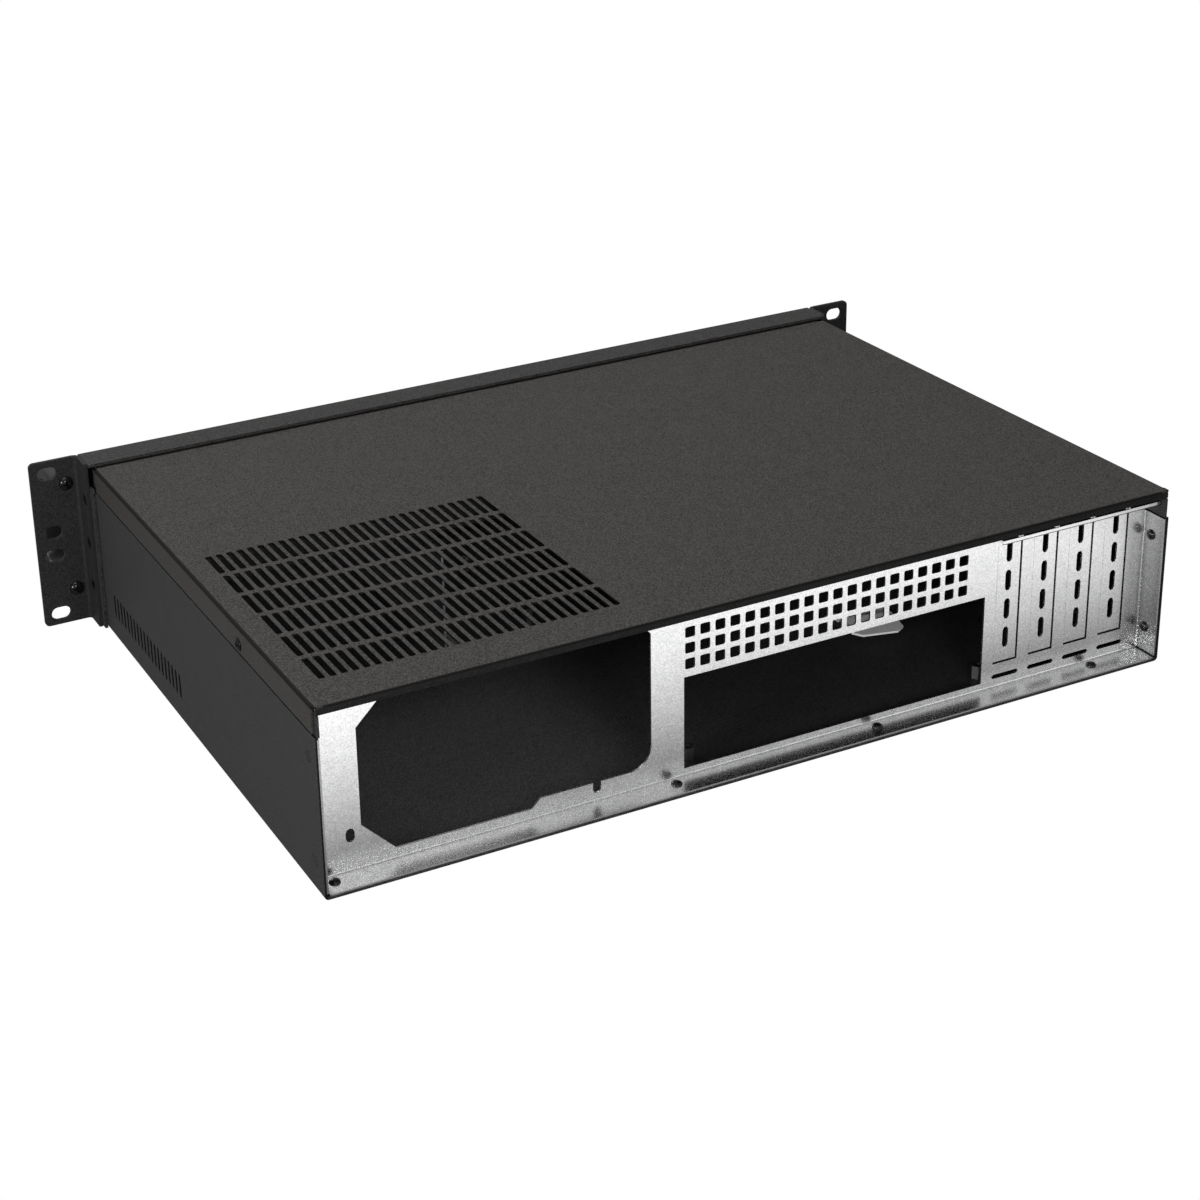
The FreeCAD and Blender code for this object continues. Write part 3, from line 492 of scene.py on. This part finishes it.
def handle_stations():
    # Points along the middle of the bar, with the way out of the loop as an angle from
    # straight down
    bend_y = HANDLE_FRONT + HANDLE_BEND
    radius = HANDLE_BEND - HANDLE_HALF_THICK
    low_bend = HANDLE_LOW + HANDLE_BEND
    high_bend = HANDLE_HIGH - HANDLE_BEND
    stations = [(HANDLE_BACK, HANDLE_LOW + HANDLE_HALF_THICK, 0.0)]
    for start, middle_z in ((0.0, low_bend), (QUARTER, high_bend)):
        for step in range(BEND_STEPS + 1):
            turn = start + QUARTER * step / BEND_STEPS
            stations.append((
                bend_y - radius * math.sin(turn), middle_z - radius * math.cos(turn), turn))
    stations.append((HANDLE_BACK, HANDLE_HIGH - HANDLE_HALF_THICK, math.pi))
    return stations


def grip(name, node, side):
    section = rounded_outline(HANDLE_HALF_WIDTH, HANDLE_HALF_THICK, HANDLE_EDGE, EDGE_STEPS)
    count = len(section)
    points = []
    for y, z, turn in handle_stations():
        for across, out in section:
            points.append((
                (side * HANDLE_X + across) * MM,
                (y - out * math.sin(turn)) * MM,
                (z - out * math.cos(turn)) * MM))
    faces = []
    for ring in range(0, len(points) - count, count):
        for k in range(count):
            following = (k + 1) % count
            faces.append((
                ring + k, ring + following, ring + count + following, ring + count + k))
    faces.append(tuple(range(count)))
    faces.append(tuple(range(len(points) - count, len(points))))
    mesh = bpy.data.meshes.new(name)
    mesh.from_pydata(points, [], faces)
    work = bmesh.new()
    work.from_mesh(mesh)
    bmesh.ops.recalc_face_normals(work, faces=work.faces)
    work.to_mesh(mesh)
    work.free()
    mesh.materials.append(finishes[slot_of[node]])
    mesh.shade_smooth()
    mesh.set_sharp_from_angle(angle=math.radians(40.0))
    piece = linked(name, mesh)
    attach(piece, CHASSIS)
    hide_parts(node)


grip("right_grip", "handle_right", 1.0)
grip("left_grip", "handle_left", -1.0)


# Screws and rivets: each kind is made once from its sizes and repeated at its places
ROUND_SIDES = 20
SHANK_SIDES = 12


def upright(tree, z):
    return add(tree, "ShaderNodeCombineXYZ", {"Z": z})


def moved_up(tree, shape, z):
    return add(tree, "GeometryNodeTransform", {"Geometry": shape, "Translation": upright(tree, z)})


def rod_up(tree, radius, low, high, sides):
    # A closed round bar along Z between two heights
    long = number(tree, "SUBTRACT", high, low)
    middle = product(tree, number(tree, "ADD", high, low), 0.5)
    bar = add(tree, "GeometryNodeMeshCylinder", {
        "Vertices": sides, "Radius": radius, "Depth": long})
    return moved_up(tree, bar, middle)


def dome_up(tree, radius, height):
    # The upper half of a ball pressed to a height, closed flat below
    ball = add(tree, "GeometryNodeMeshUVSphere", {
        "Segments": ROUND_SIDES, "Rings": 14, "Radius": 1.0})
    here = add(tree, "GeometryNodeInputPosition", {})
    above = add(tree, "ShaderNodeVectorMath", {
        0: here, 1: (-2.0, -2.0, 0.0)}, operation="MAXIMUM")
    half = add(tree, "GeometryNodeSetPosition", {"Geometry": ball, "Position": above})
    sizes = add(tree, "ShaderNodeCombineXYZ", {"X": radius, "Y": radius, "Z": height})
    return add(tree, "GeometryNodeTransform", {"Geometry": half, "Scale": sizes})


def cross_recess(tree, shape, radius, top, deep):
    # The cross recess of a screw head: two bars cut out of it, as shares of its radius
    arm_long = 1.1
    arm_wide = 0.26
    low = number(tree, "SUBTRACT", top, deep)
    arms = []
    for x, y in ((arm_long, arm_wide), (arm_wide, arm_long)):
        size = add(tree, "ShaderNodeCombineXYZ", {
            "X": product(tree, radius, x), "Y": product(tree, radius, y),
            "Z": product(tree, deep, 4.0)})
        arm = add(tree, "GeometryNodeMeshCube", {"Size": size})
        middle = number(tree, "ADD", low, product(tree, deep, 2.0))
        arms.append(moved_up(tree, arm, middle))
    return add(tree, "GeometryNodeMeshBoolean", {0: shape, 1: arms}, operation="DIFFERENCE")


def repeated_tree(name, sizes, make):
    # A tree that makes one piece from its named sizes and repeats it at every place,
    # turned outwards
    tree = bpy.data.node_groups.new(name, "GeometryNodeTree")
    tree.interface.new_socket("Places", in_out="INPUT", socket_type="NodeSocketGeometry")
    for size in sizes:
        tree.interface.new_socket(size, in_out="INPUT", socket_type="NodeSocketFloat")
    tree.interface.new_socket("Finish", in_out="INPUT", socket_type="NodeSocketMaterial")
    tree.interface.new_socket("Pieces", in_out="OUTPUT", socket_type="NodeSocketGeometry")
    given = tree.nodes.new("NodeGroupInput").outputs
    piece = make(tree, given)
    outward = add(tree, "GeometryNodeInputNamedAttribute", {
        "Name": "outward"}, data_type="FLOAT_VECTOR")
    turn = add(tree, "FunctionNodeAlignRotationToVector", {"Vector": outward}, axis="Z")
    set_out = add(tree, "GeometryNodeInstanceOnPoints", {
        "Points": given["Places"], "Instance": piece, "Rotation": turn})
    real = add(tree, "GeometryNodeRealizeInstances", {"Geometry": set_out})
    coated = add(tree, "GeometryNodeSetMaterial", {
        "Geometry": real, "Material": given["Finish"]})
    leave = tree.nodes.new("NodeGroupOutput")
    tree.links.new(coated, leave.inputs["Pieces"])
    return tree


def pan_screw(tree, given):
    # A domed head with an upright rim of a third of its height, over its shank
    radius = given["Head radius"]
    height = given["Head height"]
    head = dome_up(tree, radius, height)
    rim = rod_up(tree, radius, 0.0, product(tree, height, 0.35), ROUND_SIDES)
    bottom = product(tree, given["Length"], -1.0)
    shank = rod_up(tree, given["Shank radius"], bottom, 0.0001, SHANK_SIDES)
    whole = add(tree, "GeometryNodeMeshBoolean", {1: [head, rim, shank]}, operation="UNION")
    return cross_recess(tree, whole, radius, height, product(tree, height, 0.7))


def flush_screw(tree, given):
    # A countersunk head, flat with the face it sits in
    radius = given["Head radius"]
    seat = number(tree, "SUBTRACT", radius, given["Shank radius"])
    down = product(tree, seat, -1.0)
    cone = add(tree, "GeometryNodeMeshCone", {
        "Vertices": ROUND_SIDES, "Radius Top": radius, "Radius Bottom": given["Shank radius"],
        "Depth": seat})
    head = moved_up(tree, cone, down)
    bottom = product(tree, given["Length"], -1.0)
    shank = rod_up(
        tree, given["Shank radius"], bottom, product(tree, down, 0.9), SHANK_SIDES)
    whole = add(tree, "GeometryNodeMeshBoolean", {1: [head, shank]}, operation="UNION")
    return cross_recess(tree, whole, radius, 0.0, product(tree, seat, 0.75))


def pop_rivet(tree, given):
    # A flat foot, the shank through the sheets, and a dome over them
    foot = rod_up(tree, given["Foot radius"], 0.0, given["Foot"], ROUND_SIDES)
    shank = rod_up(tree, given["Shank radius"], given["Foot"], given["Stack"], SHANK_SIDES)
    dome = dome_up(tree, given["Dome radius"], given["Dome height"])
    crown = moved_up(tree, dome, given["Stack"])
    return add(tree, "GeometryNodeJoinGeometry", {"Geometry": [foot, shank, crown]})


SCREW_SIZES = ["Head radius", "Head height", "Shank radius", "Length"]
FLUSH_SIZES = ["Head radius", "Shank radius", "Length"]
RIVET_SIZES = ["Foot radius", "Foot", "Shank radius", "Stack", "Dome radius", "Dome height"]
pan_screw_tree = repeated_tree("pan_screw", SCREW_SIZES, pan_screw)
flush_screw_tree = repeated_tree("flush_screw", FLUSH_SIZES, flush_screw)
rivet_tree = repeated_tree("pop_rivet", RIVET_SIZES, pop_rivet)


def repeated(name, tree, node, places, sizes):
    # Places are pairs of a point and the way out of the face there; all in millimetres
    mesh = bpy.data.meshes.new(name + "_places")
    mesh.from_pydata([[c * MM for c in point] for point, out in places], [], [])
    outward = mesh.attributes.new("outward", "FLOAT_VECTOR", "POINT")
    for entry, (point, out) in zip(outward.data, places):
        entry.vector = out
    maker = linked(name + "_places", mesh)
    modifier = maker.modifiers.new("repeat", "NODES")
    modifier.node_group = tree
    values = {size: value * MM for size, value in sizes.items()}
    values["Finish"] = finishes[slot_of[node]]
    for item in tree.interface.items_tree:
        if item.in_out == "INPUT" and item.name in values:
            modifier[item.identifier] = values[item.name]
    graph = bpy.context.evaluated_depsgraph_get()
    made = bpy.data.meshes.new_from_object(maker.evaluated_get(graph))
    bpy.data.objects.remove(maker)
    made.name = name
    made.shade_smooth()
    made.set_sharp_from_angle(angle=math.radians(32.0))
    piece = linked(name, made)
    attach(piece, CHASSIS)
    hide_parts(node)


BODY_SIDE = 213.5
RIVET_Y = 159.7
RIVET = {
    "Foot radius": 2.8, "Foot": 0.5, "Shank radius": 1.6, "Stack": 2.0,
    "Dome radius": 2.6, "Dome height": 1.6}

repeated(
    "handle_screw_set", pan_screw_tree, "handle_screws",
    [((side * HANDLE_X, -132.0, z), (0.0, 1.0, 0.0)) for side in SIDES for z in (18.0, 75.5)],
    {"Head radius": 3.6, "Head height": 2.2, "Shank radius": 2.0, "Length": 13.0})
repeated(
    "cover_screw_set", pan_screw_tree, "cover_screws",
    [((side * BODY_SIDE, 85.0, 79.1), (side, 0.0, 0.0)) for side in SIDES],
    {"Head radius": 3.1, "Head height": 1.2, "Shank radius": 1.5, "Length": 5.0})
repeated(
    "cage_screw_set", pan_screw_tree, "cage_screws",
    [((130.0 + side * 56.5, y, 2.0), (0.0, 0.0, 1.0)) for side in SIDES for y in (-108.0, -16.0)],
    {"Head radius": 2.9, "Head height": 1.8, "Shank radius": 1.5, "Length": 1.9})
repeated(
    "ear_screw_set", flush_screw_tree, "ear_screws",
    [((side * 217.2, -122.5, z), (side, 0.0, 0.0)) for side in SIDES for z in (22.2, 45.5, 68.8)],
    {"Head radius": 2.9, "Shank radius": 1.5, "Length": 7.5})
repeated(
    "floor_rivet_set", rivet_tree, "floor_rivets",
    [((x, RIVET_Y, 0.0), (0.0, 0.0, 1.0)) for x in (205.7, 44.7, -59.9, -181.0)], RIVET)
repeated(
    "side_rivet_set", rivet_tree, "side_rivets",
    [((side * BODY_SIDE, RIVET_Y, z), (-side, 0.0, 0.0)) for side in SIDES for z in (14.7, 62.3)],
    RIVET)


# Floor: white to the eye and grey to the light, so that the shadow stays. To the zinc it shows
# painted light and shade: a painted shadow close behind the case and past its far side, painted
# light further back.
FLOOR_HALF = 6.0
FLOOR_Z = -0.0005
floor_material, tree, shader = new_material("floor_white")
shader.inputs["Base Color"].default_value = (0.4, 0.4, 0.4, 1.0)
shader.inputs["Roughness"].default_value = 0.9
path = tree.nodes.new("ShaderNodeLightPath").outputs
across = remap(tree, along(tree, "X"), -0.45, 0.45)
# Painted shade in the floor's glow past the case's far side
painted_light_across = grey_ramp(tree, across, [(0.10, 0.05), (0.17, 0.88), (0.6, 0.90), (0.72, 1.0)])
behind = remap(tree, along(tree, "Y"), 0.1, 1.1)
# A painted shadow close behind the case, and painted light further back
painted_light_behind = grey_ramp(tree, behind, [(0.065, 0.20), (0.19, 1.42), (0.35, 1.25), (0.8, 1.0)])
seen = add(tree, "ShaderNodeMix", {
    "Factor": path["Is Camera Ray"], "A": product(tree, painted_light_across, painted_light_behind), "B": 1.0},
    data_type="FLOAT")
glow = add(tree, "ShaderNodeEmission", {"Strength": seen})
either = number(tree, "MAXIMUM", path["Is Camera Ray"], path["Is Glossy Ray"])
floor_surface = add(tree, "ShaderNodeMixShader", {
    0: either, 1: shader.outputs["BSDF"], 2: glow})
tree.links.new(floor_surface, tree.nodes["Material Output"].inputs["Surface"])

floor_mesh = bpy.data.meshes.new("floor")
floor_corners = [(-1.0, -1.0), (1.0, -1.0), (1.0, 1.0), (-1.0, 1.0)]
floor_mesh.from_pydata(
    [(x * FLOOR_HALF, y * FLOOR_HALF, FLOOR_Z) for x, y in floor_corners], [], [(0, 1, 2, 3)])
floor = linked("floor", floor_mesh)
floor_mesh.materials.append(floor_material)


# Light: a plain studio, brighter from above and from the side with the vents
def area_lamp(name, place, aim, size, watts):
    data = bpy.data.lights.new(name, "AREA")
    data.shape = "RECTANGLE"
    data.size, data.size_y = size
    data.energy = watts
    lamp = linked(name, data)
    lamp.location = place
    way = Vector(aim) - Vector(place)
    lamp.rotation_euler = way.to_track_quat("-Z", "Y").to_euler()


area_lamp("overhead", (0.42, -0.25, 1.4), (0.05, 0.0, 0.05), (1.2, 1.2), 23.0)
area_lamp("rear_fill", (0.25, 1.2, 0.45), (0.0, 0.1, 0.03), (0.3, 0.25), 4.0)
area_lamp("side_light", (1.2, 0.6, 0.3), (0.1, 0.1, 0.04), (0.4, 0.3), 9.0)
area_lamp("edge_light", (-1.3, 1.7, 0.3), (-0.05, 0.15, 0.05), (1.0, 0.5), 1.6)

# The room: dim to dull faces, brighter to shining ones, white to the eye
world = bpy.data.worlds.new("studio")
world.use_nodes = True
bpy.context.scene.world = world
tree = world.node_tree
path = tree.nodes.new("ShaderNodeLightPath").outputs
strength = spread(tree, path["Is Glossy Ray"], 0.24, 0.42)
background = tree.nodes["Background"]
background.inputs["Color"].default_value = (1.0, 1.0, 1.0, 1.0)
tree.links.new(
    number(tree, "MAXIMUM", strength, path["Is Camera Ray"]), background.inputs["Strength"])

bpy.context.scene.view_settings.view_transform = "Standard"
